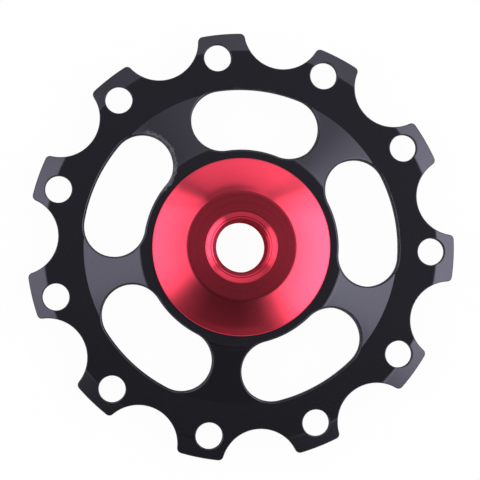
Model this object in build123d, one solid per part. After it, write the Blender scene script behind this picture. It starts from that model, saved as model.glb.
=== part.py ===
from build123d import *
import os
from math import pi, sin

# Jockey wheel of a bicycle derailleur: a toothed wheel on a sealed ball bearing, carried by two caps.
# The axle lies along Z, the wheel's middle plane is z = 0 and the front face looks along +Z. Millimetres.

# Chain and teeth
chain_pitch = 12.7
tooth_count = 11
tooth_turn = -2.94
roller_diameter = 7.75
roller_clearance = 0.2
tooth_tip_depth = 0.74
tooth_corner_radius = 0.5

# Section of the toothed wheel, from its teeth inwards
tip_thickness = 1.1
tip_taper_width = 1.8
rim_thickness = 2.0
rim_band_width = 2.45
web_edge_width = 0.17
hub_face_width = 1.3
hub_band_width = 0.88
hub_shoulder_radius = 1.5
rear_lip_width = 0.6
seat_lead_in_width = 0.15

# Openings in the toothed wheel, and its broken edges
tip_hole_diameter = 2.75
tip_hole_edge_width = 2.35
tip_hole_turn = 1.64
slot_count = 5
slot_turn = 11.31
slot_half_angle = 15.2
slot_edge_width = 0.2
tooth_edge_width = 0.08

# Ball bearing
bearing_bore_diameter = 8.0
bearing_outside_diameter = 16.0
bearing_width = 5.0
bearing_corner_width = 0.2
ball_diameter = 2.0
ball_count = 10
ball_clearance = 0.02
groove_clearance = 0.05
groove_depth = 0.3

# Bearing seals
seal_thickness = 0.5
seal_face_depth = 0.2
seal_seat_depth = 0.5
seal_bead_height = 0.12
seal_clearance = 0.05

# Ribbon cage of the balls
cage_width = 0.8
cage_thickness = 0.2
pocket_clearance = 0.06

# Caps
hub_face_height = 0.3
cap_clearance = 0.2
cap_overhang_width = 1.0
cap_edge_thickness = 0.3
cap_edge_width = 0.08
cap_flank_width = 3.52
cap_flank_height = 0.7
cap_crown_height = 0.05
cap_boss_width = 1.1
spigot_clearance = 0.01
spigot_gap = 0.2
spigot_corner_width = 0.15

# Axle hole through the caps: its bore, then its mouth from the bore outwards
axle_bore_diameter = 5.0
throat_width = 0.4
throat_depth = 0.165
seat_width = 0.23
seat_depth = 0.18
mouth_step_width = 0.07
mouth_step_depth = 0.105
mouth_width = 0.4
mouth_depth = 0.31

# Corners closer than this are one corner
corner_gap = 0.001

# Places worked out from the sizes above
pitch_radius = chain_pitch / (2 * sin(pi / tooth_count))
tooth_gap_radius = (roller_diameter + roller_clearance) / 2
tooth_tip_radius = pitch_radius - tooth_tip_depth
tooth_root_radius = pitch_radius - tooth_gap_radius
bore_radius = bearing_bore_diameter / 2
seat_radius = bearing_outside_diameter / 2
bearing_half = bearing_width / 2
cap_radius = seat_radius + cap_overhang_width
slot_inner_radius = cap_radius + hub_band_width
slot_outer_radius = tooth_root_radius - rim_band_width
hub_half = bearing_half + hub_face_height
rim_half = rim_thickness / 2
cap_under = hub_half + cap_clearance
cap_edge_top = cap_under + cap_edge_thickness
cap_top = cap_edge_top + cap_flank_height
ball_radius = ball_diameter / 2
ball_circle_radius = (bore_radius + seat_radius) / 2
groove_radius = ball_radius + groove_clearance
groove_shift = groove_clearance - ball_clearance
inner_shoulder_radius = ball_circle_radius - ball_radius + groove_depth
outer_shoulder_radius = ball_circle_radius + ball_radius - groove_depth
seal_seat_radius = outer_shoulder_radius + seal_seat_depth
seal_outer_face = bearing_half - seal_face_depth
seal_inner_face = seal_outer_face - seal_thickness
seal_middle = (seal_outer_face + seal_inner_face) / 2


def turned(outline):
    """Turn a closed flat outline of (radius, height) about the axle."""
    return revolve(Plane.XZ * outline, Axis.Z)


def polygon(points):
    """Closed flat outline with straight sides."""
    return make_face(Polyline(*points, close=True))


def wheel_blank():
    """Turned blank: thick hub, conical web, flat rim and tapered edge, with the bearing seat and rear lip."""
    hub = cap_radius + hub_face_width
    front = [
        (seat_radius + seat_lead_in_width, hub_half),
        (hub, hub_half),
        (slot_outer_radius - web_edge_width, rim_half),
        (tooth_tip_radius - tip_taper_width, rim_half),
        (tooth_tip_radius, tip_thickness / 2),
    ]
    rear = [(radius, -height) for radius, height in reversed(front[1:])]
    bearing_seat = [
        (seat_radius - rear_lip_width, -hub_half),
        (seat_radius - rear_lip_width, -bearing_half),
        (seat_radius, -bearing_half),
        (seat_radius, hub_half - seat_lead_in_width),
    ]
    section = polygon(front + rear + bearing_seat)
    shoulders = section.vertices().filter_by_position(Axis.X, hub - corner_gap, hub + corner_gap)
    return turned(fillet(shoulders, hub_shoulder_radius))


def tooth_outline():
    """Flat outline of the wheel: tip circle less the chain roller gaps, with rounded tooth corners."""
    half_tooth = 180 / tooth_count
    gaps = PolarLocations(pitch_radius, tooth_count, tooth_turn + half_tooth)
    outline = Circle(tooth_tip_radius) - gaps * Circle(tooth_gap_radius)
    return fillet(outline.vertices(), tooth_corner_radius)


def wheel_openings():
    """Flat outlines of the arc slots between the spokes and of the holes in the tooth tips."""
    slot_middle = (slot_inner_radius + slot_outer_radius) / 2
    spine = CenterArc((0, 0), slot_middle, slot_turn - slot_half_angle, 2 * slot_half_angle)
    slots = PolarLocations(0, slot_count) * SlotArc(spine, slot_outer_radius - slot_inner_radius)
    hole_circle = tooth_tip_radius - tip_hole_edge_width
    tips = PolarLocations(hole_circle, tooth_count, tooth_turn + tip_hole_turn)
    return slots + tips * Circle(tip_hole_diameter / 2)


def rim_edges(wheel, from_radius, to_radius):
    """Edges round the upright walls of the wheel whose middles lie between two radii."""
    edges = []
    for wall in wheel.faces().filter_by(GeomType.CYLINDER):
        middle = wall.center()
        if from_radius < Vector(middle.X, middle.Y).length < to_radius:
            edges += wall.edges().filter_by(Axis.Z, reverse=True)
    return edges


def toothed_wheel():
    """The milled wheel: the blank cut to the tooth outline, opened by slots and holes, its edges broken."""
    plate = extrude(tooth_outline() - wheel_openings(), hub_half, both=True)
    wheel = (wheel_blank() & plate).solid()
    rim_middle = (slot_outer_radius + tooth_root_radius) / 2
    wheel = wheel.chamfer(slot_edge_width, None, rim_edges(wheel, cap_radius, rim_middle))
    return wheel.chamfer(tooth_edge_width, None, rim_edges(wheel, rim_middle, pitch_radius))


def cap():
    """Front cap: spigot in the bearing, boss on the inner ring, crowned flange, flat land, stepped mouth."""
    spigot = bore_radius - spigot_clearance
    boss = bore_radius + cap_boss_width
    land = cap_radius - cap_flank_width
    bore = axle_bore_diameter / 2
    throat = bore + throat_width
    seat = throat + seat_width
    step = seat + mouth_step_width
    mouth = step + mouth_width
    step_height = cap_top - mouth_depth
    seat_height = step_height - mouth_step_depth
    throat_height = seat_height - seat_depth
    flank = ThreePointArc(
        (cap_radius - cap_edge_width, cap_edge_top),
        (cap_radius - cap_flank_width / 2, (cap_edge_top + cap_top) / 2 + cap_crown_height),
        (land, cap_top),
    )
    inside = Polyline(
        (land, cap_top),
        (mouth, cap_top),
        (step, step_height),
        (seat, seat_height),
        (throat, throat_height),
        (bore, throat_height - throat_depth),
        (bore, spigot_gap / 2),
        (spigot - spigot_corner_width, spigot_gap / 2),
        (spigot, spigot_gap / 2 + spigot_corner_width),
        (spigot, bearing_half),
        (boss, bearing_half),
        (boss, cap_under),
        (cap_radius, cap_under),
        (cap_radius, cap_edge_top - cap_edge_width),
        (cap_radius - cap_edge_width, cap_edge_top),
    )
    return turned(make_face(flank + inside))


def bearing_inner_ring():
    """Inner ring with its ball groove and broken corners."""
    front = [
        (bore_radius, bearing_half - bearing_corner_width),
        (bore_radius + bearing_corner_width, bearing_half),
        (inner_shoulder_radius, bearing_half),
    ]
    rear = [(radius, -height) for radius, height in reversed(front)]
    groove = Torus(ball_circle_radius + groove_shift, groove_radius)
    return turned(polygon(front + rear)) - groove


def bearing_outer_ring():
    """Outer ring with its ball groove, broken corners and an undercut seat for a seal at each end."""
    front = [
        (outer_shoulder_radius, seal_inner_face),
        (seal_seat_radius, seal_inner_face),
        (seal_seat_radius + seal_bead_height, seal_middle),
        (seal_seat_radius, seal_outer_face),
        (seal_seat_radius, bearing_half),
        (seat_radius - bearing_corner_width, bearing_half),
        (seat_radius, bearing_half - bearing_corner_width),
    ]
    rear = [(radius, -height) for radius, height in reversed(front)]
    groove = Torus(ball_circle_radius - groove_shift, groove_radius)
    return turned(polygon(front + rear)) - groove


def seal():
    """Front rubber seal: a flat ring with a bead in the outer ring's seat and a lip near the inner ring."""
    lip = inner_shoulder_radius + seal_clearance
    return turned(
        polygon(
            [
                (lip, seal_inner_face),
                (seal_seat_radius, seal_inner_face),
                (seal_seat_radius + seal_bead_height, seal_middle),
                (seal_seat_radius, seal_outer_face),
                (lip, seal_outer_face),
            ]
        )
    )


def ball_places():
    """Places of the balls round the bearing, the first on +X."""
    return PolarLocations(ball_circle_radius, ball_count).locations


def cage_half():
    """Front half of the pressed ribbon cage: a flat ring that rises in a round wave over each ball."""
    ring = Circle(ball_circle_radius + cage_width / 2) - Circle(ball_circle_radius - cage_width / 2)
    pocket_radius = ball_radius + pocket_clearance
    wave_radius = pocket_radius + cage_thickness
    band = extrude(ring, wave_radius)
    half = extrude(ring, cage_thickness)
    for place in ball_places():
        across = place * Rot(0, 90, 0)
        half = half + (band & across * Cylinder(wave_radius, ball_diameter))
        half = half - across * Cylinder(pocket_radius, ball_diameter)
    return half


def turned_over(piece):
    """The same piece on the rear side, turned half round about X."""
    return Rot(180, 0, 0) * piece


def write(node, piece):
    """Write one piece of the wheel to its own file."""
    piece.label = node
    export_step(piece, os.path.join("parts", node + ".step"))


os.makedirs("parts", exist_ok=True)
write("toothed_wheel", toothed_wheel())
write("front_cap", cap())
write("rear_cap", turned_over(cap()))
write("bearing_inner_ring", bearing_inner_ring())
write("bearing_outer_ring", bearing_outer_ring())
write("front_seal", seal())
write("rear_seal", turned_over(seal()))
write("cage_front_half", cage_half())
write("cage_rear_half", turned_over(cage_half()))
for number, place in enumerate(ball_places(), start=1):
    write(f"bearing_ball_{number:02d}", place * Sphere(ball_radius))
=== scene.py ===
# %% [markdown]
# # A derailleur jockey wheel
# The small toothed wheel that guides the chain on a bicycle's rear derailleur: a black anodised
# aluminium wheel with eleven teeth and five slots, turning on a ball bearing between two red
# anodised caps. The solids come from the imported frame, in metres, with the axle along Z.
# This lesson dresses them: the visible pieces are rebuilt with rounded edges, and every piece gets
# a finish made of nodes.

# %% Load the frame
import math

import bpy
import numpy as np
from mathutils import Matrix, Vector
from mathutils.geometry import delaunay_2d_cdt


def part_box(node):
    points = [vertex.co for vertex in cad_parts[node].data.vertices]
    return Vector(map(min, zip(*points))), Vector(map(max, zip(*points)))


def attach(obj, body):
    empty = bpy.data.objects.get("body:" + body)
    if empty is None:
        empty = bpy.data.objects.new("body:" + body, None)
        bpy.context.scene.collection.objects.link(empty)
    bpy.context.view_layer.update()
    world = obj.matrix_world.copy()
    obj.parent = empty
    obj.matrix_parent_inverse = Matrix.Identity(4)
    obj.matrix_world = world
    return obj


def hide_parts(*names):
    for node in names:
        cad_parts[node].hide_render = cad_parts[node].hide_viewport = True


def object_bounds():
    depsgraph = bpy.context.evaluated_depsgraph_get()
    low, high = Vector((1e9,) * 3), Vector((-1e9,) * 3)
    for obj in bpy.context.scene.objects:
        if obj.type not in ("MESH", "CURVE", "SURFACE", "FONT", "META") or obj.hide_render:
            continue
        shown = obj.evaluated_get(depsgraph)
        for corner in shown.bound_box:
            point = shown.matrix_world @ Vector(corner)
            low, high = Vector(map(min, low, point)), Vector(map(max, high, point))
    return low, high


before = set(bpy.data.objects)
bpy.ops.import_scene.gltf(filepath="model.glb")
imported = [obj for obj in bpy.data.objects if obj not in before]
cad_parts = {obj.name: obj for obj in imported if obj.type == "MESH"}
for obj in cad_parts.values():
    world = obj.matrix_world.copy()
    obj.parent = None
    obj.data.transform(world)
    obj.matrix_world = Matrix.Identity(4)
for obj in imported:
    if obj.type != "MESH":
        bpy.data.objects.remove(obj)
cad_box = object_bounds()
MM = 0.001

# %% [markdown]
# ## The camera
# The photograph looks almost straight down the axle: the camera leans about two degrees to the left
# and one down. A long lens far away keeps the circles round, so the lens is worked out from the
# distance and the width that the picture covers.

# %% Camera
PICTURE_WIDTH = 48.85 * MM
CAMERA_DISTANCE = 0.30
AIM = Vector((-0.066, 0.748, 0.8)) * MM
LEAN_LEFT, LEAN_DOWN = math.radians(1.9), math.radians(0.9)


def new_piece(name, data):
    """Puts a mesh or a camera in the scene."""
    piece = bpy.data.objects.new(name, data)
    bpy.context.collection.objects.link(piece)
    return piece


camera_data = bpy.data.cameras.new("picture_camera")
camera_data.sensor_width = 36.0
camera_data.lens = camera_data.sensor_width * CAMERA_DISTANCE / PICTURE_WIDTH
camera_data.clip_start = 0.01
camera = new_piece("picture_camera", camera_data)
towards_camera = Vector((-math.tan(LEAN_LEFT), -math.tan(LEAN_DOWN), 1.0)).normalized()
right = Vector((0.0, 1.0, 0.0)).cross(towards_camera).normalized()
up = towards_camera.cross(right)
camera.location = AIM + towards_camera * CAMERA_DISTANCE
camera.rotation_euler = Matrix((right, up, towards_camera)).transposed().to_euler()
bpy.context.scene.camera = camera
bpy.context.scene.view_settings.view_transform = "Standard"
print("lens", round(camera_data.lens, 1), "mm")

# %% [markdown]
# ## Light
# Glossy metal shows what stands around it. The photograph was taken in a light tent: a bright
# wall on the right, a less bright one on the left, a dim one behind and the open, dark front where
# the photographer stands, under a dark ceiling. Four lamps could stand for the walls, but the
# world can draw them without any noise: a colour ramp goes once round the compass, and the angle
# from the zenith fades it into the ceiling, a dim band half way down and a bright strip by the floor.
# The walls' seams meet almost overhead at the front and well behind that at the back, so the compass
# is read from there. A white card lying flat gets a level of about 0.9 in all, so colours render
# about as they are written.

# %% Node helpers
def fresh_tree(owner):
    """The emptied node tree of a new world or material."""
    owner.use_nodes = True
    owner.node_tree.nodes.clear()
    return owner.node_tree


def feed(tree, node, inputs):
    """Fills or links a node's inputs, by name or number."""
    for key, value in inputs.items():
        if isinstance(value, bpy.types.NodeSocket):
            tree.links.new(value, node.inputs[key])
        else:
            node.inputs[key].default_value = value


def new_node(tree, kind, inputs=None, **settings):
    """Adds a node, sets its properties and feeds its inputs."""
    node = tree.nodes.new(kind)
    for key, value in settings.items():
        setattr(node, key, value)
    feed(tree, node, inputs or {})
    return node


def arithmetic(tree, operation, a, b=0.0, clamp=False):
    return new_node(tree, "ShaderNodeMath", {0: a, 1: b}, operation=operation, use_clamp=clamp).outputs[0]


def times(tree, first, *others):
    for other in others:
        first = arithmetic(tree, "MULTIPLY", first, other)
    return first


def stretch(tree, value, low, high, to_low, to_high, smooth=True):
    """Maps a value from one range to another, held at the ends."""
    limits = {"Value": value, "From Min": low, "From Max": high, "To Min": to_low, "To Max": to_high}
    kind = "SMOOTHSTEP" if smooth else "LINEAR"
    return new_node(tree, "ShaderNodeMapRange", limits, interpolation_type=kind).outputs["Result"]


def blend(tree, amount, first, second):
    """Goes from the first value to the second as the amount goes from 0 to 1."""
    node = new_node(tree, "ShaderNodeMix", {0: amount, 2: first, 3: second}, data_type="FLOAT")
    return node.outputs[0]


def dot(tree, vector, fixed):
    """How far a vector reaches along a fixed one."""
    node = new_node(tree, "ShaderNodeVectorMath", {0: vector, 1: fixed}, operation="DOT_PRODUCT")
    return node.outputs["Value"]


print("node helpers are ready")

# %% The tent's walls
BRIGHTEST = 3.5
# Compass angle in degrees, counted from the right towards the back, and brightness of the wall there.
WALLS = (
    (-180, 1.97), (-170, 2.17), (-162, 2.08), (-146, 1.48), (-139, 0.7), (-134, 0.37), (-128, 0.24),
    (-115, 0.13), (-86, 0.12), (-71.5, 0.2), (-66, 0.37), (-60, 0.7), (-52.5, 1.56), (-43, 2.65),
    (-29.5, 3.06), (-10, 3.3), (0, 2.3), (9, 1.9), (15, 0.9), (21, 0.95), (31, 1.2), (91, 0.96),
    (134, 0.84), (148, 0.7), (155, 0.45), (161, 0.52), (170, 1.5),
)


def compass_walls(tree, direction, meeting):
    """Brightness of the tent's walls round the compass, read from how far back their seams meet."""
    sideways = dot(tree, direction, (1.0, 0.0, 0.0))
    backwards = arithmetic(tree, "SUBTRACT", dot(tree, direction, (0.0, 1.0, 0.0)), meeting)
    azimuth = arithmetic(tree, "ARCTAN2", backwards, sideways)
    turn = stretch(tree, azimuth, -math.pi, math.pi, 0.0, 1.0, smooth=False)
    ramp = new_node(tree, "ShaderNodeValToRGB", {0: turn})
    stops = ramp.color_ramp.elements
    while len(stops) < len(WALLS):
        stops.new(0.5)
    for stop, (degrees, level) in zip(stops, WALLS):
        stop.position = (degrees + 180) / 360
        stop.color = (*[level / BRIGHTEST] * 3, 1.0)
    return times(tree, ramp.outputs["Color"], BRIGHTEST)


print("wall stops", len(WALLS), "brightest", max(level for _, level in WALLS))

# %% The tent's ceiling
# Seen from below the ceiling is a soft oval: its middle, half sizes, turn and the reach of its edge.
CEILING_MIDDLE, CEILING_HALF, CEILING_TURN = (0.03, 0.10), (0.255, 0.29), math.radians(30)
CEILING_EDGE = (0.89, 1.04)
# It is darkest at the front, paler beyond a seam near the middle, and gains towards the right.
CEILING_FRONT, CEILING_BACK, CEILING_SEAM, CEILING_TO_RIGHT = 0.055, 0.235, (-0.055, 0.0), 0.3


def off_ceiling(tree, direction):
    """0 on the oval ceiling, 1 on the walls."""
    middle = Vector(CEILING_MIDDLE)
    cos, sin = math.cos(CEILING_TURN), math.sin(CEILING_TURN)
    across, along = (
        dot(tree, direction, Vector((*axis, -middle.dot(axis))) / half)
        for axis, half in zip(((cos, sin), (-sin, cos)), CEILING_HALF)
    )
    reach = new_node(tree, "ShaderNodeCombineXYZ", {"X": across, "Y": along})
    reach = new_node(tree, "ShaderNodeVectorMath", {0: reach.outputs[0]}, operation="LENGTH")
    return stretch(tree, reach.outputs["Value"], *CEILING_EDGE, 0.0, 1.0)


def ceiling_level(tree, direction, to_back):
    level = stretch(tree, to_back, *CEILING_SEAM, CEILING_FRONT, CEILING_BACK)
    return arithmetic(tree, "ADD", level, dot(tree, direction, (CEILING_TO_RIGHT, 0.0, 0.0)), clamp=True)


print("ceiling from", CEILING_FRONT, "at the front to", CEILING_BACK, "at the back")

# %% The tent's upper half
# Where the walls' seams meet, as the share of a direction that points back: at the front, at the back
# high up and lower down, and how much further back they meet low at the open front.
SEAMS_FRONT, SEAMS_BACK, SEAMS_BACK_LOW, SEAMS_OPENING = 0.03, 0.24, 0.37, 0.4
FRONT_TO_BACK, OPENING_DEPTH = (-0.1, 0.2), (-0.5, -0.15)
# Zones in degrees from the zenith, over which one part of the tent gives way to the next.
LOW_SEAMS_ZONE, OPENING_ZONE = (29.5, 37), (28.5, 32)
TABLE_EDGE, TABLE_STARTS, TABLE_ENDS = 0.33, (24, 27.5), (28.5, 30.5)
# The walls are fainter near the direction that flat faces mirror into the lens.
MIRRORED, FAINT_ZONE, FAINT, FULL = (0.034, 0.016, 1.0), (15, 28), 0.6, 1.08


def angle_from(tree, direction, pole):
    return arithmetic(tree, "ARCCOSINE", dot(tree, direction, Vector(pole).normalized()))


def over(tree, angle, zone, low, high):
    """Goes from low to high over a zone of angles, which is given in degrees."""
    return stretch(tree, angle, math.radians(zone[0]), math.radians(zone[1]), low, high)


def seams_meeting(tree, from_top, to_back):
    """How far behind the zenith the seams meet that the compass is read from."""
    at_back = over(tree, from_top, LOW_SEAMS_ZONE, SEAMS_BACK, SEAMS_BACK_LOW)
    return blend(tree, stretch(tree, to_back, *FRONT_TO_BACK, 0.0, 1.0), SEAMS_FRONT, at_back)


def upper_walls(tree, direction, from_top, to_back, meeting):
    """The walls with the open front and the faint edge of the table."""
    opening = times(tree, over(tree, from_top, OPENING_ZONE, 0.0, SEAMS_OPENING),
                    stretch(tree, to_back, *OPENING_DEPTH, 1.0, 0.0))
    walls = compass_walls(tree, direction, arithmetic(tree, "ADD", meeting, opening))
    from_lens = angle_from(tree, direction, MIRRORED)
    walls = times(tree, walls, over(tree, from_lens, FAINT_ZONE, FAINT, FULL))
    table = times(tree, over(tree, from_top, TABLE_STARTS, 0.0, TABLE_EDGE),
                  over(tree, from_top, TABLE_ENDS, 1.0, 0.0))
    return arithmetic(tree, "MAXIMUM", walls, table)


print("seams meet at", SEAMS_FRONT, "in front and", SEAMS_BACK, "behind")

# %% The light tent
TENT_LEVEL = 1.2
# Levels half way down and, at the least, by the floor, and the walls' share that reaches the floor.
MIDDLE, FRONT_BY_FLOOR, SHARE_BY_FLOOR = 0.2, 0.65, 0.8
WALLS_END, FLOOR_STRIP_STARTS = (34, 55), (72, 79)


def light_tent():
    """The world: ceiling, walls, a dim middle and a bright strip by the floor, from the zenith down."""
    world = bpy.data.worlds.new("light_tent")
    tree = fresh_tree(world)
    direction = new_node(tree, "ShaderNodeTexCoord").outputs["Generated"]
    from_top = angle_from(tree, direction, (0.0, 0.0, 1.0))
    to_back = dot(tree, direction, (0.0, 1.0, 0.0))
    meeting = seams_meeting(tree, from_top, to_back)
    walls = upper_walls(tree, direction, from_top, to_back, meeting)
    ceiling = ceiling_level(tree, direction, to_back)
    level = blend(tree, off_ceiling(tree, direction), ceiling, walls)
    level = blend(tree, over(tree, from_top, WALLS_END, 0.0, 1.0), level, MIDDLE)
    by_floor = arithmetic(tree, "MAXIMUM", compass_walls(tree, direction, meeting), FRONT_BY_FLOOR)
    by_floor = times(tree, by_floor, SHARE_BY_FLOOR)
    level = blend(tree, over(tree, from_top, FLOOR_STRIP_STARTS, 0.0, 1.0), level, by_floor)
    strength = times(tree, level, TENT_LEVEL)
    glow = new_node(tree, "ShaderNodeBackground", {"Color": (1.0, 1.0, 1.0, 1.0), "Strength": strength})
    new_node(tree, "ShaderNodeOutputWorld", {0: glow.outputs[0]})
    return world


bpy.context.scene.world = light_tent()
print("light tent nodes", len(bpy.context.scene.world.node_tree.nodes))

# %% [markdown]
# ## Floor
# The background of the photograph is pure white. The floor is a white sheet under the rear cap. A
# lit sheet alone would turn grey under the wheel, so seen directly or in a reflection it is mostly
# plain white, also inside the slots, and the small share left to the lit sheet keeps a faint shadow.

# %% White floor
FLOOR_SIZE = 3.0
FLOOR_WHITE_SHARE = 0.97
SHEET_WHITE = (0.93, 0.93, 0.93, 1.0)


def white_sheet():
    """Plain white where a ray sees it, a lit sheet for all other light."""
    material = bpy.data.materials.new("white_sheet")
    tree = fresh_tree(material)
    path = new_node(tree, "ShaderNodeLightPath").outputs
    seen = arithmetic(tree, "MAXIMUM", path["Is Camera Ray"], path["Is Glossy Ray"])
    seen = arithmetic(tree, "MAXIMUM", seen, path["Is Transmission Ray"])
    share = times(tree, seen, FLOOR_WHITE_SHARE)
    lit = new_node(tree, "ShaderNodeBsdfDiffuse", {"Color": SHEET_WHITE})
    plain = new_node(tree, "ShaderNodeEmission", {"Color": (1.0, 1.0, 1.0, 1.0), "Strength": 1.0})
    both = new_node(tree, "ShaderNodeMixShader", {0: share, 1: lit.outputs[0], 2: plain.outputs[0]})
    new_node(tree, "ShaderNodeOutputMaterial", {0: both.outputs[0]})
    return material


def flat_sheet(name, size, height):
    half = size / 2
    corners = [(-half, -half, height), (half, -half, height), (half, half, height), (-half, half, height)]
    mesh = bpy.data.meshes.new(name)
    mesh.from_pydata(corners, [], [(0, 1, 2, 3)])
    return new_piece(name, mesh)


floor = flat_sheet("floor", FLOOR_SIZE, cad_box[0][2])
floor.data.materials.append(white_sheet())
print("floor at", round(cad_box[0][2] / MM, 2), "mm")

# %% [markdown]
# ## Finishes
# Black anodising is a hard clear layer over dyed metal: almost no colour of its own, and a gloss like
# that of glass. Where an edge was rolled over, the black wears a little paler, and the walls that a
# cutter left are dull. At the end of one slot the cutter chattered, which left a rough, pale edge.
# Red anodising lets the metal below shine through the dye, so it is a metal with a red tint under a
# thin clear coat. The caps' flat land is satin, with the rings of its turning, and the bore is dull,
# without the coat. Painted pictures could show this, but noise that reads each point's place stays
# sharp at any size: the lathe's rings are a one-dimensional noise of the distance from the axle.
# The land's colour is darkened a little and the bore's much more, as painted shade.

# %% Finish helpers
FINISHES = {}
# Noise lies mostly between these values.
NOISE_LOW, NOISE_HIGH = 0.3, 0.7


def new_finish(name):
    """Starts a finish; returns its tree, its shader and the place of each point on the piece."""
    material = FINISHES[name] = bpy.data.materials.new(name)
    tree = fresh_tree(material)
    shader = new_node(tree, "ShaderNodeBsdfPrincipled")
    new_node(tree, "ShaderNodeOutputMaterial", {0: shader.outputs[0]})
    place = new_node(tree, "ShaderNodeTexCoord").outputs["Object"]
    return tree, shader, place


def from_axle(tree, place):
    flat = new_node(tree, "ShaderNodeVectorMath", {0: place, 1: (1.0, 1.0, 0.0)}, operation="MULTIPLY")
    return new_node(tree, "ShaderNodeVectorMath", {0: flat.outputs[0]}, operation="LENGTH").outputs["Value"]


def turning_rings(tree, place, rings_per_mm):
    """Noise that depends only on the distance from the axle, as a lathe tool leaves it."""
    inputs = {"W": from_axle(tree, place), "Scale": rings_per_mm / MM, "Detail": 3.0}
    return new_node(tree, "ShaderNodeTexNoise", inputs, noise_dimensions="1D").outputs[0]


def grain(tree, place, grains_per_mm, detail=2.0):
    inputs = {"Vector": place, "Scale": grains_per_mm / MM, "Detail": detail}
    return new_node(tree, "ShaderNodeTexNoise", inputs).outputs[0]


def from_noise(tree, noise, low, high):
    """Spreads a noise over a range of values."""
    return stretch(tree, noise, NOISE_LOW, NOISE_HIGH, low, high)


def soft_step(tree, length, zone_mm, low=0.0, high=1.0):
    """Goes from low to high over a zone of lengths, which is given in mm."""
    return stretch(tree, length, zone_mm[0] * MM, zone_mm[1] * MM, low, high)


def painted(tree, amount, under, cover):
    """Goes from one colour, fixed or made of nodes, to another as the amount goes from 0 to 1."""
    if not isinstance(under, bpy.types.NodeSocket):
        under = (*under, 1.0)
    inputs = {0: amount, 6: under, 7: (*cover, 1.0)}
    return new_node(tree, "ShaderNodeMix", inputs, data_type="RGBA").outputs[2]


def relief(tree, height, depth_mm, strength):
    """The way that the surface faces when fine marks tilt it."""
    inputs = {"Height": height, "Strength": strength, "Distance": depth_mm * MM}
    return new_node(tree, "ShaderNodeBump", inputs).outputs[0]


print("finish helpers are ready")

# %% Marks of the cutter
# The slot end where the cutter chattered: the middle of its arc in mm, the way that the marks face, how
# far they spread to each side and how softly they end, in degrees.
CHATTER_MIDDLE, CHATTER_WAY, CHATTER_SPREAD, CHATTER_FADE = (-9.97, 8.34, 0.0), 15, 70, 10
# The band's inner and outer edge, the heights that it starts at and how far its edges are torn, in mm.
CHATTER_INNER, CHATTER_OUTER, CHATTER_HEIGHT, CHATTER_TEAR = (3.14, 3.3), (3.36, 3.56), (0.3, 0.7), 0.13
FLECKS = (0.35, 0.62)


def chatter_marks(tree, place):
    """A rough, pale band along the front edge of one slot end, from 0 to 1."""
    middle = Vector(CHATTER_MIDDLE) * MM
    away = new_node(tree, "ShaderNodeVectorMath", {0: place, 1: middle}, operation="SUBTRACT").outputs[0]
    distance = from_axle(tree, away)
    torn = from_noise(tree, grain(tree, place, 2.5, detail=5.0), -CHATTER_TEAR * MM, CHATTER_TEAR * MM)
    ragged = arithmetic(tree, "ADD", distance, torn)
    way = math.radians(CHATTER_WAY)
    facing = dot(tree, away, (math.cos(way), math.sin(way), 0.0))
    facing = arithmetic(tree, "DIVIDE", facing, distance)
    near, far = (math.cos(math.radians(CHATTER_SPREAD + more)) for more in (-CHATTER_FADE, CHATTER_FADE))
    return times(
        tree, soft_step(tree, ragged, CHATTER_INNER), soft_step(tree, ragged, CHATTER_OUTER, 1.0, 0.0),
        stretch(tree, facing, far, near, 0.0, 1.0),
        soft_step(tree, dot(tree, place, (0.0, 0.0, 1.0)), CHATTER_HEIGHT),
        stretch(tree, grain(tree, place, 5.0, detail=3.0), *FLECKS, 0.25, 1.0),
    )


print("chatter marks spread over", 2 * CHATTER_SPREAD, "degrees")

# %% Black anodised aluminium
BLACK_DEEP, BLACK_PALE = (0.0034, 0.0031, 0.0041), (0.0050, 0.0046, 0.0060)
WORN_EDGE, CHATTERED = (0.05, 0.048, 0.056), (0.12, 0.117, 0.13)
BLACK_ROUGHNESS, MILLED_ROUGHNESS = (0.14, 0.20), 0.9
# The noise that rubs the edges, and how far over the edge the milled wall starts.
RUBBED, WALL_STARTS = (0.35, 0.75), (0.45, 0.85)


def black_anodised():
    tree, shader, place = new_finish("black_anodised")
    rings, specks = turning_rings(tree, place, 6.0), grain(tree, place, 6.0, detail=3.0)
    # 0 on a face and 1 on a wall, and a product that is 1 half way over the edge between them.
    turned = new_node(tree, "ShaderNodeAttribute", attribute_name="edge_turn").outputs["Fac"]
    edge = times(tree, turned, arithmetic(tree, "SUBTRACT", 1.0, turned), 4.0)
    rubbed = stretch(tree, grain(tree, place, 1.2), *RUBBED, 0.15, 0.8)
    wear = arithmetic(tree, "MULTIPLY", edge, rubbed, clamp=True)
    chatter = chatter_marks(tree, place)
    colour = painted(tree, grain(tree, place, 0.25), BLACK_DEEP, BLACK_PALE)
    colour = painted(tree, wear, colour, WORN_EDGE)
    dull = arithmetic(tree, "MAXIMUM", stretch(tree, turned, *WALL_STARTS, 0.0, 1.0), chatter)
    height = arithmetic(tree, "ADD", times(tree, rings, 0.4), specks)
    feed(tree, shader, {
        "Base Color": painted(tree, chatter, colour, CHATTERED),
        "Roughness": blend(tree, dull, from_noise(tree, specks, *BLACK_ROUGHNESS), MILLED_ROUGHNESS),
        "IOR": 1.62, "Specular Tint": (0.80, 0.775, 1.0, 1.0),
        "Normal": relief(tree, height, 0.004, 0.3),
    })


black_anodised()
print("nodes of the black finish", len(FINISHES["black_anodised"].node_tree.nodes))

# %% Red anodised aluminium
DYE_DEEP, DYE_PALE = (0.66, 0.031, 0.069), (0.71, 0.036, 0.078)
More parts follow.
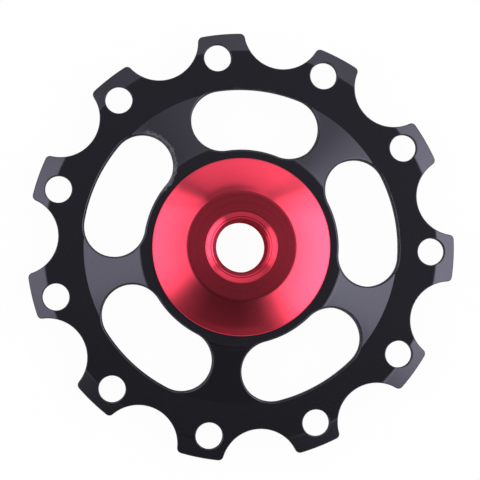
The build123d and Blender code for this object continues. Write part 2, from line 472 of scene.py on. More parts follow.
# Soft edges of the flat land and of the bore, in mm from the axle.
LAND_INNER, LAND_OUTER, BORE_EDGE = (3.55, 3.75), (5.35, 5.6), (2.6, 2.7)
# The land's factor darkens it along its rings, partly ring tone and partly painted shade; the bore's factor
# is painted shade.
LAND_RINGS_AND_PAINTED_SHADE, BORE_PAINTED_SHADE = (0.75, 0.88), 0.6
RED_ROUGHNESS, LAND_ROUGHNESS, BORE_ROUGHNESS = (0.055, 0.08), 0.16, 0.7
COAT_WEIGHT = 0.42


def red_anodised():
    tree, shader, place = new_finish("red_anodised")
    rings, specks = turning_rings(tree, place, 5.0), grain(tree, place, 10.0)
    radius = from_axle(tree, place)
    land = times(tree, soft_step(tree, radius, LAND_INNER), soft_step(tree, radius, LAND_OUTER, 1.0, 0.0))
    bore = soft_step(tree, radius, BORE_EDGE, 1.0, 0.0)
    # Ring tone and painted shade on the land: its colour is darkened by 0.75 to 0.88 along the rings.
    shade = blend(tree, land, 1.0, from_noise(tree, rings, *LAND_RINGS_AND_PAINTED_SHADE))
    # Painted shade: the bore's colour is darkened to 0.6, for the shadow in the recess.
    shade = blend(tree, bore, shade, BORE_PAINTED_SHADE)
    dye_and_painted_shade = painted(tree, rings, DYE_DEEP, DYE_PALE)
    # The dye times the painted shade of the land and the bore.
    dye_and_painted_shade = new_node(tree, "ShaderNodeVectorMath", {0: dye_and_painted_shade, "Scale": shade}, operation="SCALE")
    roughness = blend(tree, land, from_noise(tree, rings, *RED_ROUGHNESS), LAND_ROUGHNESS)
    height = arithmetic(tree, "ADD", rings, times(tree, specks, 0.2))
    feed(tree, shader, {
        "Base Color": dye_and_painted_shade.outputs[0],
        "Roughness": blend(tree, bore, roughness, BORE_ROUGHNESS),
        "Coat Weight": stretch(tree, bore, 0.0, 1.0, COAT_WEIGHT, 0.0), "Coat Roughness": 0.22,
        "Metallic": 1.0, "Specular Tint": (1.0, 0.2, 0.3, 1.0),
        "Anisotropic": 0.5, "Anisotropic Rotation": 0.25,
        "Tangent": new_node(tree, "ShaderNodeTangent", direction_type="RADIAL", axis="Z").outputs[0],
        "Normal": relief(tree, height, 0.003, 0.06),
    })


red_anodised()
print("nodes of the red finish", len(FINISHES["red_anodised"].node_tree.nodes))

# %% [markdown]
# ## The bearing's finishes
# The bearing sits behind the caps, and only its edges can be seen through the gaps. Its rings are
# ground, its balls polished, its cage is stamped from sheet and its two seals are moulded rubber.
# Each way of making leaves its own gloss and grain, which one helper and a short table give.

# %% Steel and rubber
# Name, dark and pale tint, range of roughness, kind of marks, marks per mm and their depth in mm.
STEELS = (
    ("bearing_steel", (0.50, 0.50, 0.51), (0.60, 0.60, 0.61), (0.14, 0.24), turning_rings, 9.0, 0.002),
    ("ball_steel", (0.60, 0.60, 0.61), (0.66, 0.66, 0.67), (0.04, 0.08), grain, 5.0, 0.0005),
    ("cage_steel", (0.42, 0.41, 0.40), (0.54, 0.53, 0.51), (0.26, 0.42), grain, 7.0, 0.004),
)
RUBBER_DARK, RUBBER_PALE, RUBBER_ROUGHNESS = (0.010, 0.010, 0.011), (0.022, 0.021, 0.021), (0.5, 0.68)


def moulded_rubber():
    tree, shader, place = new_finish("seal_rubber")
    bloom, skin = grain(tree, place, 0.6), grain(tree, place, 9.0, detail=4.0)
    feed(tree, shader, {
        "Base Color": painted(tree, bloom, RUBBER_DARK, RUBBER_PALE),
        "Roughness": from_noise(tree, skin, *RUBBER_ROUGHNESS),
        "Normal": relief(tree, skin, 0.02, 0.3),
    })


def bare_steel(name, dark, pale, roughness, kind, marks_per_mm, depth_mm):
    """Steel with the marks of its making: rings from grinding, or specks from polishing or stamping."""
    tree, shader, place = new_finish(name)
    marks = kind(tree, place, marks_per_mm)
    feed(tree, shader, {
        "Base Color": painted(tree, marks, dark, pale), "Metallic": 1.0,
        "Roughness": from_noise(tree, marks, *roughness), "Normal": relief(tree, marks, depth_mm, 0.15),
    })


moulded_rubber()
for steel in STEELS:
    bare_steel(*steel)
print("finishes", sorted(FINISHES))

# %% [markdown]
# ## Turned sections
# The caps and the two faces of the wheel were cut on a lathe, so each starts as a line in a plane
# through the axle. A sharp corner never catches light, and a real one is always a little round. A bevel
# modifier could round the mesh, but the helper below replaces every corner of the line by an arc, so
# that the true direction of the surface is known at each point.

# %% Rounded section lines
# An arc gets a point at least this often, by its turn and by its length in mm.
ARC_TURN, ARC_LENGTH = math.radians(12), 0.3


def rounded_section(corners, closed=True):
    """Rows of radius, height and outward normal along a line with an arc at each corner, in mm.

    corners are (radius, height, corner radius); a closed line runs with the metal on its left.
    """
    points = np.array([corner[:2] for corner in corners], dtype=float)
    rows = []
    for i, (_, _, radius) in enumerate(corners):
        way_in = points[i] - points[i - 1]
        way_out = points[(i + 1) % len(points)] - points[i]
        if not closed and i == 0:
            way_in = way_out
        if not closed and i == len(points) - 1:
            way_out = way_in
        way_in = way_in / np.hypot(*way_in)
        way_out = way_out / np.hypot(*way_out)
        cross = way_in[0] * way_out[1] - way_in[1] * way_out[0]
        bend = math.atan2(cross, float(way_in @ way_out))
        side = math.copysign(radius, bend)
        start = points[i] - way_in * radius * math.tan(abs(bend) / 2)
        centre = start + side * np.array((-way_in[1], way_in[0]))
        pieces = 0
        if bend:
            pieces = max(2, math.ceil(abs(bend) / ARC_TURN), round(radius * abs(bend) / ARC_LENGTH))
        for k in range(pieces + 1):
            angle = bend * k / pieces if pieces else 0.0
            along = np.array((
                way_in[0] * math.cos(angle) - way_in[1] * math.sin(angle),
                way_in[0] * math.sin(angle) + way_in[1] * math.cos(angle),
            ))
            spot = centre - side * np.array((-along[1], along[0]))
            rows.append((*spot, along[1], -along[0]))
    return np.array(rows)


print("a right angle gets", math.ceil(math.pi / 2 / ARC_TURN) + 1, "points")

# %% Turned pieces
TURN_STEPS = 288


def turned_mesh(name, corners):
    """Spins a closed section round Z and shades it with the section's own normals."""
    rows = rounded_section(corners)
    around = np.arange(TURN_STEPS) * 2 * math.pi / TURN_STEPS
    cos, sin = np.cos(around)[:, None], np.sin(around)[:, None]
    radius, height, out, up = rows.T
    spots = np.stack([radius * cos, radius * sin, height + 0 * cos], axis=-1).reshape(-1, 3) * MM
    normals = np.stack([out * cos, out * sin, up + 0 * cos], axis=-1).reshape(-1, 3)
    count = len(rows)
    step, place = np.meshgrid(np.arange(TURN_STEPS), np.arange(count), indexing="ij")
    next_step, next_place = (step + 1) % TURN_STEPS, (place + 1) % count
    quads = np.stack([
        step * count + place, next_step * count + place,
        next_step * count + next_place, step * count + next_place,
    ], axis=-1).reshape(-1, 4)
    mesh = bpy.data.meshes.new(name)
    mesh.from_pydata(spots.tolist(), [], quads.tolist())
    mesh.normals_split_custom_set_from_vertices(normals.tolist())
    return mesh


def dress(piece, body, slot, *nodes):
    """Gives a piece its finish and its body, and hides the solids that it stands for."""
    piece.data.materials.clear()
    piece.data.materials.append(FINISHES[slot])
    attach(piece, body)
    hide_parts(*nodes)


print("a turned piece has", TURN_STEPS, "steps")

# %% [markdown]
# ## The wheel's faces
# The wheel is thick at the hub, falls away in a cone over the spokes, runs flat along the rim and thins
# towards the tooth tips, so that the chain finds its way on. Both faces are alike. The hub's
# shoulder is a soft curve and the rim's inner crease is crisp. Cutting teeth and slots out of a turned
# mesh would leave ragged triangles, so the section gives a height that lifts a flat drawing instead.

# %% Face height over the radius
HUB_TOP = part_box("toothed_wheel")[1][2] / MM
TIP_RADIUS = 21.799
RIM_HALF, TIP_HALF = 1.0, 0.55
SEAT_RADIUS, LEAD_IN = 8.0, 0.15
HUB_EDGE, RIM_INNER, TAPER_START = 10.3, 15.944, 19.999
SHOULDER_CURVE, RIM_CREASE, TAPER_CURVE = 1.5, 0.25, 1.5
face_line = rounded_section((
    (SEAT_RADIUS - 1.0, HUB_TOP, 0.0), (HUB_EDGE, HUB_TOP, SHOULDER_CURVE),
    (RIM_INNER, RIM_HALF, RIM_CREASE), (TAPER_START, RIM_HALF, TAPER_CURVE),
    (TIP_RADIUS, TIP_HALF, 0.0),
), closed=False)
# The line runs outwards, with the metal on its right, so its normals are turned round.
face_line[:, 2:] *= -1


def face_height(radius):
    """Height of the front face over the wheel's middle plane, in mm."""
    return np.interp(radius, face_line[:, 0], face_line[:, 1])


def face_normal(x, y):
    """Outward normal of the front face over a point; radius and rise come from the section."""
    radius = np.hypot(x, y)
    out = np.interp(radius, face_line[:, 0], face_line[:, 2])
    up = np.interp(radius, face_line[:, 0], face_line[:, 3])
    return np.stack([out * x / radius, out * y / radius, up], axis=-1)


print("hub", HUB_TOP, "mm high, section points", len(face_line))

# %% [markdown]
# ## Teeth, tip holes and slots
# A chain's rollers shape the teeth: between two tips lies a round gap a little larger than a roller,
# on the circle that the rollers run on. Each tip has a small hole, and the web has five curved slots.
# One tooth and one slot are enough, because Geometry Nodes will carry them round. Curves could draw
# their outlines, but the rolled edges also need directions: for any point, the two functions below say
# how far it is from the nearest cut edge and which way leads out of the metal.

# %% One tooth
TOOTH_COUNT = 11
CHAIN_PITCH = 12.7
TOOTH_HALF = math.pi / TOOTH_COUNT
FIRST_TOOTH = math.radians(-2.94)
PITCH_RADIUS = CHAIN_PITCH / (2 * math.sin(TOOTH_HALF))
GAP_RADIUS = 3.975
CORNER_RADIUS = 0.5
HOLE_RADIUS, HOLE_CIRCLE, HOLE_TURN = 1.375, 19.449, math.radians(1.64)
TOOTH_ROLL = 0.08
OUT_OF_REACH = 1e3

gap_centre = PITCH_RADIUS * np.array((math.cos(TOOTH_HALF), math.sin(TOOTH_HALF)))
corner_reach = TIP_RADIUS - CORNER_RADIUS
centres_apart = GAP_RADIUS + CORNER_RADIUS
corner_turn = math.acos(
    (PITCH_RADIUS**2 + corner_reach**2 - centres_apart**2) / (2 * PITCH_RADIUS * corner_reach)
)
corner_angle = TOOTH_HALF - corner_turn
corner_centre = corner_reach * np.array((math.cos(corner_angle), math.sin(corner_angle)))
to_gap = gap_centre - corner_centre
gap_side = math.atan2(to_gap[1], to_gap[0])
hole_centre = HOLE_CIRCLE * np.array((math.cos(HOLE_TURN), math.sin(HOLE_TURN)))


def nearest(options):
    """Picks, point by point, the option with the least distance."""
    distance = np.stack([option[0] for option in options])
    pick = distance.argmin(axis=0)
    x, y = (np.choose(pick, [option[1][k] for option in options]) for k in (0, 1))
    return distance.min(axis=0), (x, y)


def from_centre(x, y, centre):
    """Distance of points from a centre, and the way from there."""
    dx, dy = x - centre[0], y - centre[1]
    length = np.hypot(dx, dy)
    return length, (dx / length, dy / length)


def tooth_edge(x, y):
    """Distance to the tooth's edge, positive on metal, and the way out, for a tooth on the X axis."""
    mirror = np.where(y < 0, -1.0, 1.0)
    up = y * mirror
    gap, gap_way = from_centre(x, up, gap_centre)
    tip, tip_way = from_centre(x, up, (0.0, 0.0))
    corner, corner_way = from_centre(x, up, corner_centre)
    angle = np.arctan2(corner_way[1], corner_way[0])
    at_corner = (angle > corner_angle) & (angle < gap_side) & (tip > corner_reach - CORNER_RADIUS)
    far = np.full_like(x, OUT_OF_REACH)
    hole, hole_way = from_centre(x, y, hole_centre)
    return nearest([
        (np.where(at_corner, far, gap - GAP_RADIUS), (-gap_way[0], -gap_way[1] * mirror)),
        (np.where(at_corner, far, TIP_RADIUS - tip), (tip_way[0], tip_way[1] * mirror)),
        (np.where(at_corner, CORNER_RADIUS - corner, far), (corner_way[0], corner_way[1] * mirror)),
        (hole - HOLE_RADIUS, (-hole_way[0], -hole_way[1])),
    ])


print("pitch radius", round(PITCH_RADIUS, 3), "mm")

# %% One slot
SLOT_COUNT = 5
SLOT_MIDDLE, SLOT_HALF_WIDTH, SLOT_HALF_ANGLE = 12.997, 3.117, math.radians(15.2)
FIRST_SLOT = math.radians(11.31)
SLOT_ROLL = 0.2


def slot_edge(x, y):
    """Distance to the slot's edge, positive on metal, and the way out, for a slot on the X axis."""
    angle = np.clip(np.arctan2(y, x), -SLOT_HALF_ANGLE, SLOT_HALF_ANGLE)
    middle = (SLOT_MIDDLE * np.cos(angle), SLOT_MIDDLE * np.sin(angle))
    length, way = from_centre(x, y, middle)
    return length - SLOT_HALF_WIDTH, (-way[0], -way[1])


print("slot", 2 * SLOT_HALF_WIDTH, "mm wide")

# %% [markdown]
# ## A tooth and a spoke as meshes
# The wheel is a flat plate with a changing height, so each sector is drawn flat first. A constrained
# Delaunay triangulation fills it between its edges and along the creases, and then the section
# lifts it. Every open edge is rolled over in three steps and goes down as a wall to the middle
# of the wheel, where the other face's wall meets it. The teeth and the web meet on a circle inside
# the rim, whose points are spaced so that eleven teeth and five spokes land on the same ones.

# %% Drawing a sector flat
JOIN_RADIUS = 17.0
RING_POINTS = TOOTH_COUNT * SLOT_COUNT * 10
RING_ANGLE = 2 * math.pi / RING_POINTS
OUTLINE_STEP = 0.13
# Points closer than SNAP are one point, and points on a border may stray from it by the slacks.
SNAP, RADIUS_SLACK, ANGLE_SLACK = 1e-4, 1e-3, 1e-4


def arc(centre, radius, start, end):
    count = max(4, math.ceil(abs(end - start) * radius / OUTLINE_STEP))
    angles = np.linspace(start, end, count + 1)
    return np.stack([centre[0] + radius * np.cos(angles), centre[1] + radius * np.sin(angles)], axis=-1)


def ring(radius, start, count):
    """Points round the axle, at the steps of the joining circle."""
    angles = start + np.arange(count + 1) * RING_ANGLE
    return np.stack([radius * np.cos(angles), radius * np.sin(angles)], axis=-1)


def fill(lines, on_metal):
    """Triangles between lines of points, kept where on_metal(x, y) is true."""
    points, edges = [], []
    for line in lines:
        edges.extend((len(points) + k, len(points) + k + 1) for k in range(len(line) - 1))
        points.extend(Vector(point) for point in line)
    found, _, faces, *_ = delaunay_2d_cdt(points, edges, [], 0, SNAP)
    spots = np.array([tuple(point) for point in found])
    faces = np.array(faces)
    middle = spots[faces].mean(axis=1)
    faces = faces[on_metal(middle[:, 0], middle[:, 1])]
    used, places = np.unique(faces, return_inverse=True)
    return spots[used], places.reshape(-1, 3)


print("points on the joining circle", RING_POINTS)

# %% Rolling its edges over
ROLL_STEPS = (math.radians(30), math.radians(60), math.radians(90))


def rolled_half(spots, faces, seam, edge, roll, side):
    """Lifts a filled sector to one face and rolls its open edges down to the middle of the wheel."""
    pairs = {}
    for a, b, c in faces.tolist():
        for pair in ((a, b), (b, c), (c, a)):
            pairs[pair] = True
    open_pairs = [pair for pair in pairs if pair[::-1] not in pairs]
    open_pairs = [(a, b) for a, b in open_pairs if not seam(*spots[[a, b]].T)]
    rim = sorted({index for pair in open_pairs for index in pair})
    _, (out_x, out_y) = edge(*spots[rim].T)
    layers = [np.column_stack([spots, face_height(np.hypot(*spots.T))])]
    turned = [np.zeros(len(spots))]
    for angle in ROLL_STEPS:
        flat = spots[rim] + roll * math.sin(angle) * np.column_stack([out_x, out_y])
        drop = roll * (1 - math.cos(angle))
        layers.append(np.column_stack([flat, face_height(np.hypot(*flat.T)) - drop]))
        turned.append(np.full(len(rim), angle / ROLL_STEPS[-1]))
    layers.append(np.column_stack([flat, np.zeros(len(rim))]))
    turned.append(np.ones(len(rim)))
    first = {index: len(spots) + k for k, index in enumerate(rim)}
    polygons = faces.tolist()
    for a, b in open_pairs:
        upper = (a, b)
        for k in range(len(layers) - 1):
            lower = (first[a] + k * len(rim), first[b] + k * len(rim))
            polygons.append((upper[1], upper[0], lower[0], lower[1]))
            upper = lower
    solid = np.concatenate(layers)
    if side < 0:
        solid[:, 2] *= -1
        polygons = [polygon[::-1] for polygon in polygons]
    return solid, polygons, np.concatenate(turned)


def sector_mesh(name, halves, turned_faces=0):
    """Joins the halves of a sector in one mesh, in metres, with how far each point's edge is rolled."""
    solid, polygons, turned = [], [], []
    for half in halves:
        shift = len(turned)
        solid.extend((half[0] * MM).tolist())
        polygons.extend([tuple(index + shift for index in polygon) for polygon in half[1]])
        turned.extend(half[2].tolist())
    mesh = bpy.data.meshes.new(name)
    mesh.from_pydata(solid, [], polygons)
    mesh.attributes.new("edge_turn", "FLOAT", "POINT").data.foreach_set("value", turned)
    flags = [0] * (len(polygons) - turned_faces) + [1] * turned_faces
    mesh.attributes.new("turned_face", "INT", "FACE").data.foreach_set("value", flags)
    return new_piece(name, mesh)


print("steps of a rolled edge", len(ROLL_STEPS))

# %% The tooth sector
SIDE_POINTS = 5
# Creases are drawn across the tooth, from a little inside the taper to a little inside the tip.
CREASES_FROM, CREASES_TO, CREASE_HALF_ANGLE = TAPER_START - 1.0, TIP_RADIUS - 0.3, 0.12


def tooth_lines():
    """The outline of one tooth, its hole, its two sides and the creases of its face."""
    steps = RING_POINTS // TOOTH_COUNT
    inset_gap = GAP_RADIUS + TOOTH_ROLL
    inset_corner = CORNER_RADIUS - TOOTH_ROLL
    from_gap = math.atan2(-to_gap[1], -to_gap[0])
    root = TOOTH_HALF - math.pi
    upper = np.concatenate([
        arc((0.0, 0.0), TIP_RADIUS - TOOTH_ROLL, 0.0, corner_angle),
        arc(corner_centre, inset_corner, corner_angle, gap_side)[1:],
        arc(gap_centre, inset_gap, from_gap, root)[1:],
    ])
    lower = (upper * (1, -1))[::-1]
    outline = np.concatenate([lower, upper[1:]])
    hole = arc(hole_centre, HOLE_RADIUS + TOOTH_ROLL, 0.0, 2 * math.pi)
    side_radii = np.linspace(JOIN_RADIUS, PITCH_RADIUS - inset_gap, SIDE_POINTS)
    sides = [np.outer(side_radii, (math.cos(s * TOOTH_HALF), math.sin(s * TOOTH_HALF))) for s in (-1, 1)]
    creases = [radius for radius in face_line[:, 0] if CREASES_FROM < radius < CREASES_TO]
    across = [arc((0.0, 0.0), radius, -CREASE_HALF_ANGLE, CREASE_HALF_ANGLE) for radius in creases]
    return [ring(JOIN_RADIUS, -TOOTH_HALF, steps), outline, hole, *sides, *across]


def on_tooth(x, y):
    """True on the tooth's flat face, inside its rolled edges."""
    radius, angle = np.hypot(x, y), np.abs(np.arctan2(y, x))
    inside = (radius > JOIN_RADIUS + RADIUS_SLACK) & (angle < TOOTH_HALF - ANGLE_SLACK)
    return inside & (tooth_edge(x, y)[0] > TOOTH_ROLL)


def tooth_seam(x, y):
    """True along the joining circle and the sides, where the next sector goes on."""
    radius, angle = np.hypot(x, y), np.abs(np.arctan2(y, x))
    return bool(np.all(radius < JOIN_RADIUS + RADIUS_SLACK) or np.all(angle > TOOTH_HALF - ANGLE_SLACK))


tooth_flat = fill(tooth_lines(), on_tooth)
tooth_halves = [rolled_half(*tooth_flat, tooth_seam, tooth_edge, TOOTH_ROLL, side) for side in (1, -1)]
tooth_sector = sector_mesh("tooth_sector", tooth_halves)
print("tooth sector faces", len(tooth_sector.data.polygons))

# %% The spoke sector
WEB_STEPS = RING_POINTS // SLOT_COUNT
# Rings between the creases, which keep the triangles short.
WEB_RINGS = (9.2, 12.0, 13.5, 15.0)
SEAM_CLEARANCE = 0.02
REAR_LIP_RADIUS, REAR_LIP_TOP = 7.4, -2.5
LIP_ROLL = 0.1
# The sector starts in a spoke, on the point of the joining circle that is nearest to its middle.
offset = FIRST_TOOTH - TOOTH_HALF - FIRST_SLOT
web_start = offset + RING_ANGLE * round((-math.pi / SLOT_COUNT - offset) / RING_ANGLE)


def slot_line():
    half, reach = SLOT_HALF_ANGLE, SLOT_HALF_WIDTH + SLOT_ROLL
    ends = [SLOT_MIDDLE * np.array((math.cos(s * half), math.sin(s * half))) for s in (-1, 1)]
    return np.concatenate([
        arc((0.0, 0.0), SLOT_MIDDLE + reach, -half, half),
        arc(ends[1], reach, half, half + math.pi)[1:],
        arc((0.0, 0.0), SLOT_MIDDLE - reach, half, -half)[1:],
        arc(ends[0], reach, -half - math.pi, -half)[1:],
    ])


def web_half(inner_radius, side):
    """One face of the web round one slot, from half way over a spoke to half way over the next."""
    creases = [radius for radius in face_line[:, 0] if SEAT_RADIUS + 1 < radius < JOIN_RADIUS]
    radii = sorted([inner_radius, *creases, *WEB_RINGS, JOIN_RADIUS])
    rings = [ring(radius, web_start, WEB_STEPS) for radius in radii]
    ends = (web_start, web_start + WEB_STEPS * RING_ANGLE)
    sides = [np.outer(radii, (math.cos(end), math.sin(end))) for end in ends]

    def on_web(x, y):
        radius, angle = np.hypot(x, y), np.arctan2(y, x)
        inside = (radius > inner_radius + RADIUS_SLACK) & (radius < JOIN_RADIUS)
        inside &= (angle > ends[0] + ANGLE_SLACK) & (angle < ends[1] - ANGLE_SLACK)
        return inside & (slot_edge(x, y)[0] > SLOT_ROLL)

    def web_seam(x, y):
        return bool(np.all(slot_edge(x, y)[0] > SLOT_ROLL + SEAM_CLEARANCE))

    flat = fill([slot_line(), *rings, *sides], on_web)
    return rolled_half(*flat, web_seam, slot_edge, SLOT_ROLL, side)


def seat_strip():
    """The bearing's seat with its lead-in and the lip at its rear, as a strip of rings."""
    section = (
        (SEAT_RADIUS + LEAD_IN, HUB_TOP), (SEAT_RADIUS, HUB_TOP - LEAD_IN), (SEAT_RADIUS, REAR_LIP_TOP),
        (REAR_LIP_RADIUS, REAR_LIP_TOP), (REAR_LIP_RADIUS, LIP_ROLL - HUB_TOP),
        (REAR_LIP_RADIUS + LIP_ROLL, -HUB_TOP),
    )
    rings = [np.column_stack([ring(radius, web_start, WEB_STEPS), np.full(WEB_STEPS + 1, height)])
             for radius, height in section]
    count = WEB_STEPS + 1
    quads = [(j * count + k, j * count + k + 1, (j + 1) * count + k + 1, (j + 1) * count + k)
             for j in range(len(section) - 1) for k in range(WEB_STEPS)]
    return np.concatenate(rings), quads, np.zeros(len(section) * count)


seat = seat_strip()
web_halves = [web_half(SEAT_RADIUS + LEAD_IN, 1), web_half(REAR_LIP_RADIUS + LIP_ROLL, -1), seat]
spoke_sector = sector_mesh("spoke_sector", web_halves, turned_faces=len(seat[1]))
print("spoke sector faces", len(spoke_sector.data.polygons))

# %% [markdown]
# ## Carrying the sectors round
# Copying and turning a sector by hand eleven times is what Geometry Nodes does best: points at the
# axle, one instance on each, turned by its index, then realised and welded into one closed
# mesh. The counts and the first angles are inputs of the tree.

# %% The tree that repeats sectors
WELD_DISTANCE = 0.001 * MM


def repeat_round_tree():
    """A tree that sets both kinds of sector round the axle and welds them."""
    tree = bpy.data.node_groups.new("sectors_round_the_axle", "GeometryNodeTree")
    sockets = tree.interface
    inputs = [(kind + name, value) for kind in ("Tooth", "Spoke") for name, value in (
        (" sector", "Object"), (" count", "Int"), (" first angle", "Float"))]
    for name, value in (*inputs, ("Weld distance", "Float"), ("Finish", "Material")):
        sockets.new_socket(name, in_out="INPUT", socket_type="NodeSocket" + value)
    sockets.new_socket("Wheel", in_out="OUTPUT", socket_type="NodeSocketGeometry")
    given = new_node(tree, "NodeGroupInput").outputs
    joined = new_node(tree, "GeometryNodeJoinGeometry")
    for kind in ("Tooth", "Spoke"):
        sector = new_node(tree, "GeometryNodeObjectInfo", {"Object": given[kind + " sector"]})
        points = new_node(tree, "GeometryNodePoints", {"Count": given[kind + " count"]})
        share = arithmetic(tree, "DIVIDE", new_node(tree, "GeometryNodeInputIndex").outputs[0],
                           given[kind + " count"])
        swing = arithmetic(tree, "MULTIPLY_ADD", share, 2 * math.pi)
        tree.links.new(given[kind + " first angle"], swing.node.inputs[2])
        euler = new_node(tree, "ShaderNodeCombineXYZ", {"Z": swing})
        swung = new_node(tree, "FunctionNodeEulerToRotation", {0: euler.outputs[0]})
        placed = new_node(tree, "GeometryNodeInstanceOnPoints", {
            "Points": points.outputs[0], "Instance": sector.outputs["Geometry"],
            "Rotation": swung.outputs[0],
        })
        tree.links.new(placed.outputs[0], joined.inputs[0])
    real = new_node(tree, "GeometryNodeRealizeInstances", {0: joined.outputs[0]})
    welded = new_node(tree, "GeometryNodeMergeByDistance",
                      {"Geometry": real.outputs[0], "Distance": given["Weld distance"]})
    finished = new_node(tree, "GeometryNodeSetMaterial",
                        {"Geometry": welded.outputs[0], "Material": given["Finish"]})
    new_node(tree, "NodeGroupOutput", {0: finished.outputs[0]})
    return tree


def grown(name, tree, values):
    """Runs a tree with the given inputs and returns its result as a plain mesh."""
    carrier = new_piece(name, bpy.data.meshes.new(name + "_start"))
    modifier = carrier.modifiers.new("grow", "NODES")
    modifier.node_group = tree
    for item in tree.interface.items_tree:
        if item.in_out == "INPUT":
            modifier[item.identifier] = values[item.name]
    bpy.context.view_layer.update()
    ready = carrier.evaluated_get(bpy.context.evaluated_depsgraph_get())
    mesh = bpy.data.meshes.new_from_object(ready)
    bpy.data.objects.remove(carrier)
    return mesh


wheel_mesh = grown("toothed_wheel_grown", repeat_round_tree(), {
    "Tooth sector": tooth_sector, "Tooth count": TOOTH_COUNT, "Tooth first angle": FIRST_TOOTH,
    "Spoke sector": spoke_sector, "Spoke count": SLOT_COUNT, "Spoke first angle": FIRST_SLOT,
    "Weld distance": WELD_DISTANCE, "Finish": FINISHES["black_anodised"],
})
for helper in (tooth_sector, spoke_sector):
    bpy.data.objects.remove(helper)
print("wheel faces", len(wheel_mesh.polygons))

# %% [markdown]
# ## Shading the wheel
# Gloss shows the smallest unevenness, and thousands of thin triangles would shade unevenly if Blender
# averaged their normals. The true direction of the surface is known everywhere: the section gives it
# on the faces, the edge functions give it on the walls, and a rolled edge turns from one to the other.

# %% True normals on the wheel
def round_the_axle(x, y, count, first):
    """Turns points back to the sector that lies on the X axis; returns them and the angle used."""
    step = 2 * math.pi / count
    turn = first + step * np.round((np.arctan2(y, x) - first) / step)
    cos, sin = np.cos(turn), np.sin(turn)
    return x * cos + y * sin, y * cos - x * sin, cos, sin


def wall_normal(x, y):
    """The way out of the metal at the nearest cut edge, level."""
    ways = []
    for edge, count, first in ((tooth_edge, TOOTH_COUNT, FIRST_TOOTH), (slot_edge, SLOT_COUNT, FIRST_SLOT)):
        near_x, near_y, cos, sin = round_the_axle(x, y, count, first)
        _, (out_x, out_y) = edge(near_x, near_y)
        ways.append((out_x * cos - out_y * sin, out_x * sin + out_y * cos))
    on_teeth = np.hypot(x, y) > JOIN_RADIUS
    return np.stack([*np.where(on_teeth, *ways), 0 * x], axis=-1)


def shade_wheel(mesh):
    """Sets the true normals; the bearing's seat keeps a crisp edge between its turned faces."""
    spots = np.empty(len(mesh.vertices) * 3)
    mesh.vertices.foreach_get("co", spots)
    x, y, z = spots.reshape(-1, 3).T / MM
    turned = np.empty(len(mesh.vertices))
    mesh.attributes["edge_turn"].data.foreach_get("value", turned)
    normal = face_normal(x, y)
    normal[:, 2] *= np.where(z < 0, -1.0, 1.0)
    angle = turned[:, None] * math.pi / 2
    normal = np.cos(angle) * normal + np.sin(angle) * wall_normal(x, y)
    normal /= np.linalg.norm(normal, axis=1)[:, None]
    corner_normals = np.empty((len(mesh.loops), 3))
    for polygon in mesh.polygons:
        corners = list(polygon.loop_indices)
        points = list(polygon.vertices)
        corner_normals[corners] = normal[points]
        if mesh.attributes["turned_face"].data[polygon.index].value:
            around = np.arctan2(y[points], x[points])
            middle = math.atan2(polygon.center[1], polygon.center[0])
            out = polygon.normal[0] * math.cos(middle) + polygon.normal[1] * math.sin(middle)
            up = np.full(len(points), polygon.normal[2])
            corner_normals[corners] = np.stack([out * np.cos(around), out * np.sin(around), up], axis=-1)
    mesh.normals_split_custom_set(corner_normals.tolist())


shade_wheel(wheel_mesh)
toothed_wheel = new_piece("toothed_wheel_fine", wheel_mesh)
dress(toothed_wheel, "wheel", "black_anodised", "toothed_wheel")
print("wheel corners shaded", len(wheel_mesh.loops))

# %% [markdown]
# ## The caps
# Two red caps hold the bearing's inner ring: each has a crowned flank, a flat land, a stepped mouth
# that leads the bolt in, and a spigot that plugs into the ring. The bore is a touch wider than in the
# solids, with a round edge, as it looks through the lens. Both caps are the same turned piece, one
# upside down, so one section is drawn and mirrored. A screw modifier could spin it, but the turning
# helper also sets the true normals.

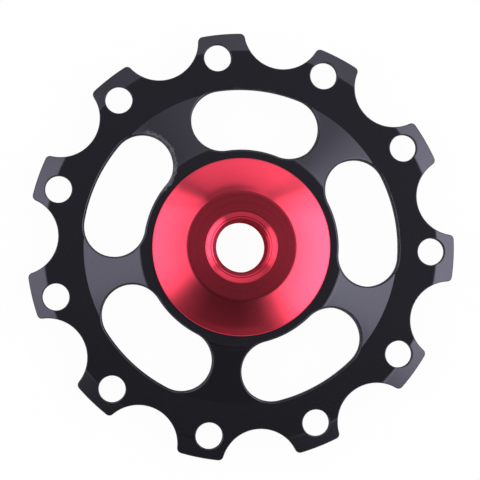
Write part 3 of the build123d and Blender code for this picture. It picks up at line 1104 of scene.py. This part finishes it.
# %% Front and rear cap
BORE_RADIUS = 2.55
SPIGOT_RADIUS, SPIGOT_END = 3.99, 0.1
BOSS_RADIUS, BOSS_BOTTOM, CAP_BOTTOM = 5.1, 2.5, 3.0
CAP_RADIUS, CAP_TOP = 9.0, cad_box[1][2] / MM
SPIGOT_CORNER, LAND_DROP = 0.15, 0.022
# Each row is radius, height and corner radius in mm.
cap_section = (
    # The end of the spigot, then its side up to the boss.
    (BORE_RADIUS, SPIGOT_END, 0.05), (SPIGOT_RADIUS - SPIGOT_CORNER, SPIGOT_END, 0.03),
    (SPIGOT_RADIUS, SPIGOT_END + SPIGOT_CORNER, 0.03), (SPIGOT_RADIUS, BOSS_BOTTOM, 0.03),
    # The boss, the underside and the outer edge.
    (BOSS_RADIUS, BOSS_BOTTOM, 0.05), (BOSS_RADIUS, CAP_BOTTOM, 0.05),
    (CAP_RADIUS, CAP_BOTTOM, 0.04), (CAP_RADIUS, 3.22, 0.05), (8.92, 3.30, 0.05),
    # The crowned flank and the flat land.
    (7.24, 3.685, 40.0), (5.48, CAP_TOP - LAND_DROP, 2.5), (3.60, CAP_TOP, 0.18),
    # The mouth, its step, the seat and the throat.
    (3.115, 3.583, 0.02), (3.045, 3.507, 0.02), (2.91, 3.391, 0.04), (BORE_RADIUS, 3.22, 0.25),
)


def mirrored(section):
    """The same section upside down, still with the metal on its left."""
    return [(radius, -height, corner) for radius, height, corner in section][::-1]


for node, section in (("front_cap", cap_section), ("rear_cap", mirrored(cap_section))):
    cap = new_piece(node + "_fine", turned_mesh(node + "_fine", section))
    dress(cap, "axle_parts", "red_anodised", node)
    print(node, "faces", len(cap.data.polygons))

# %% [markdown]
# ## The bearing
# The bearing's rings, balls, cage and seals hide behind the caps. They keep the shape of their solids,
# which is exact already, and only change their finish. A solid without a replacement stays in the
# picture as it is.

# %% Finishes on the bearing's solids
BEARING = {
    "bearing_inner_ring": "bearing_steel", "bearing_outer_ring": "bearing_steel",
    "front_seal": "seal_rubber", "rear_seal": "seal_rubber",
    "cage_front_half": "cage_steel", "cage_rear_half": "cage_steel",
}
BEARING.update({name: "ball_steel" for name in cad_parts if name.startswith("bearing_ball")})
for name, slot in BEARING.items():
    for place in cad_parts[name].material_slots:
        place.material = FINISHES[slot]
print("bearing solids with a finish", len(BEARING))
